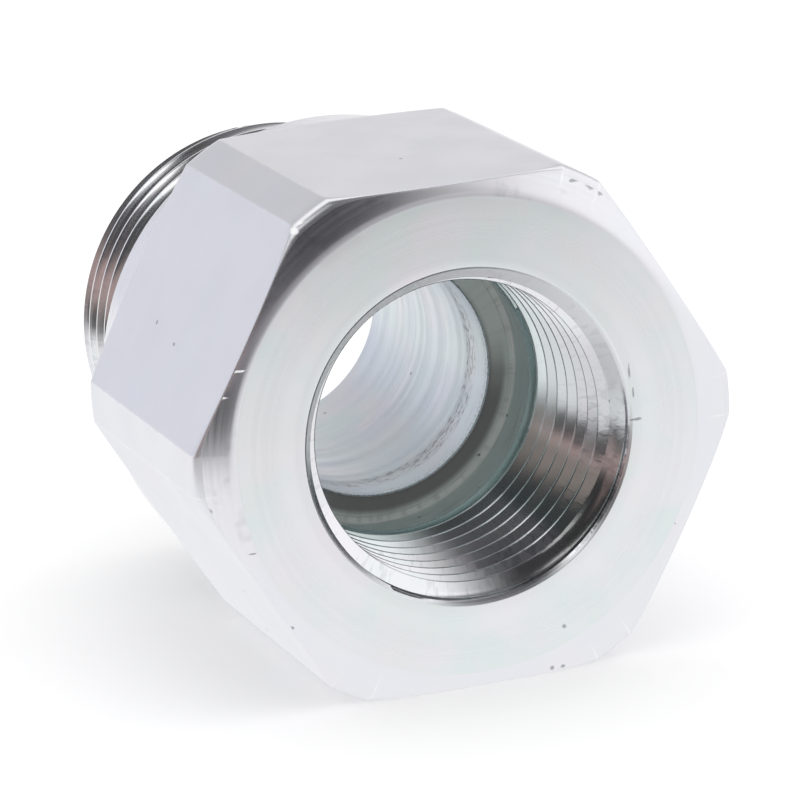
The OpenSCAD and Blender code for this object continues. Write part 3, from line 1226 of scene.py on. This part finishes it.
def mirrored_room(tree):
    """What metal mirrors of the room: pale walls, a dark front, a lamp at the upper left and a gap."""
    lamp = (1.35, 1.35, 1.35, 1.0)
    gap = (0.14, 0.14, 0.15, 1.0)
    direction = split(tree, put_node(tree, "ShaderNodeTexCoord").outputs["Generated"])
    height = direction["Z"]
    azimuth = front_azimuth(tree, direction["X"], direction["Y"])
    front = window_edges(tree, azimuth, degrees(-86.0, -74.0), degrees(5.0, 34.0))
    darkness = dark_front(tree, height, azimuth)
    with_front = blend_colours(tree, front, room_shell(tree, direction, azimuth), darkness)
    lamp_sides = window_edges(tree, azimuth, degrees(-90.0, -80.0), degrees(-24.0, -18.0))
    lamp_heights = window_edges(tree, height, (0.62, 0.67), (0.80, 0.87))
    lamp_face = calculate(tree, "MULTIPLY", lamp_sides, lamp_heights)
    with_lamp = blend_colours(tree, lamp_face, with_front, lamp)
    gap_sides = window_edges(tree, azimuth, degrees(-4.0, 2.0), degrees(66.0, 76.0))
    gap_heights = remap(tree, height, 0.70, 0.82)
    return blend_colours(tree, calculate(tree, "MULTIPLY", gap_sides, gap_heights), with_lamp, gap)


def studio_world(strength):
    """White for the camera, soft light for matt surfaces, and a graded room for what metal mirrors."""
    world = bpy.data.worlds.new("studio_room")
    world.use_nodes = True
    tree = world.node_tree
    tree.nodes.clear()
    seen = put_node(tree, "ShaderNodeBackground", {"Color": WHITE}).outputs[0]
    soft = put_node(tree, "ShaderNodeBackground", {"Color": WHITE, "Strength": strength}).outputs[0]
    room = put_node(tree, "ShaderNodeBackground", {"Color": mirrored_room(tree)}).outputs[0]
    mirrored = mix_shaders(tree, light_path(tree, "Is Glossy Ray"), soft, room)
    shown = mix_shaders(tree, light_path(tree, "Is Camera Ray"), mirrored, seen)
    put_node(tree, "ShaderNodeOutputWorld", {"Surface": shown})
    return world


class REDUCER_OT_stage(bpy.types.Operator):
    """Makes the floor, the room light, the soft lamp and the camera"""

    bl_idname = "reducer.stage"
    bl_label = "Build studio"
    bl_options = {"REGISTER", "UNDO"}

    def execute(self, context):
        scene = context.scene
        studio = scene.reducer_studio
        self.make_floor(scene, studio)
        scene.world = studio_world(studio.sky_strength)
        self.make_lamp(scene, studio)
        self.make_camera(scene, studio)
        scene.view_settings.view_transform = "Standard"
        return {"FINISHED"}

    def make_floor(self, scene, studio):
        """Puts a plain disc under the part."""
        mesh = bpy.data.meshes.new("studio_floor")
        disc = bmesh.new()
        bmesh.ops.create_circle(disc, cap_ends=True, segments=64, radius=studio.floor_radius)
        disc.to_mesh(mesh)
        disc.free()
        mesh.materials.append(floor_material(studio.floor_colour, studio.floor_lift, studio.pool_radius))
        floor = bpy.data.objects.new("studio_floor", mesh)
        floor.location = (0.0, 0.0, FLOOR_Z)
        scene.collection.objects.link(floor)

    def make_lamp(self, scene, studio):
        """Hangs a soft lamp over the part, which metal doesn't mirror."""
        lamp = bpy.data.lights.new("overhead_lamp", "AREA")
        lamp.shape = "DISK"
        lamp.size = 0.5
        lamp.energy = studio.lamp_power
        overhead = bpy.data.objects.new("overhead_lamp", lamp)
        overhead.location = (0.05, -0.1, 0.6)
        aim = Vector((0.0, 0.0, 0.0)) - overhead.location
        overhead.rotation_euler = aim.to_track_quat("-Z", "Y").to_euler()
        overhead.visible_glossy = False
        scene.collection.objects.link(overhead)

    def make_camera(self, scene, studio):
        """Puts the camera round the middle of the port face, turned by its roll."""
        azimuth = studio.azimuth
        elevation = studio.elevation
        forward = -math.cos(azimuth) * math.cos(elevation)
        back = Vector((math.sin(azimuth) * math.cos(elevation), forward, math.sin(elevation)))
        level = Vector((math.cos(azimuth), math.sin(azimuth), 0.0))
        upright = back.cross(level)
        right = level * math.cos(studio.roll) + upright * math.sin(studio.roll)
        up = upright * math.cos(studio.roll) - level * math.sin(studio.roll)
        target = Vector((0.0, PORT_FACE_Y, 0.0))
        place = target + right * studio.aside + up * studio.upward + back * studio.distance
        turned = Matrix((right, up, back)).transposed().to_4x4()
        lens = bpy.data.cameras.new("photo_camera")
        lens.sensor_width = 36.0
        lens.lens = studio.focal_length
        lens.clip_start = 0.01
        lens.clip_end = 20.0
        camera = bpy.data.objects.new("photo_camera", lens)
        camera.matrix_world = Matrix.Translation(place) @ turned
        scene.collection.objects.link(camera)
        scene.camera = camera


# The groups of settings that the scene carries, each with its heading in the panel.
SETTINGS = {
    "reducer_hexagon": ("Hexagon and collar", HexagonSizes),
    "reducer_stud": ("Stud", StudSizes),
    "reducer_port": ("Port and bore", PortSizes),
    "reducer_plating": ("Plating", PlatingColours),
    "reducer_studio": ("Studio", StudioSettings),
}


class REDUCER_PT_panel(bpy.types.Panel):
    """Lists the sizes, the colours and the builders"""

    bl_idname = "REDUCER_PT_panel"
    bl_label = "Hydraulic reducer"
    bl_space_type = "VIEW_3D"
    bl_region_type = "UI"
    bl_category = "Reducer"

    def draw(self, context):
        for name, (label, _) in SETTINGS.items():
            group = getattr(context.scene, name)
            box = self.layout.box()
            box.label(text=label)
            for key in group.__annotations__:
                box.prop(group, key)
        self.layout.operator(REDUCER_OT_stage.bl_idname)
        self.layout.operator(REDUCER_OT_body.bl_idname)


CLASSES = (
    HexagonSizes,
    StudSizes,
    PortSizes,
    PlatingColours,
    StudioSettings,
    REDUCER_OT_body,
    REDUCER_OT_stage,
    REDUCER_PT_panel,
)


def register():
    """Registers the classes and hangs their settings on the scene."""
    for cls in CLASSES:
        bpy.utils.register_class(cls)
    for name, (_, cls) in SETTINGS.items():
        setattr(bpy.types.Scene, name, bpy.props.PointerProperty(type=cls))


def unregister():
    """Takes the settings and the classes away again."""
    for name in SETTINGS:
        delattr(bpy.types.Scene, name)
    for cls in reversed(CLASSES):
        bpy.utils.unregister_class(cls)


def main():
    """Builds the studio and the body."""
    register()
    bpy.ops.reducer.stage()
    bpy.ops.reducer.body()


if __name__ == "__main__":
    main()
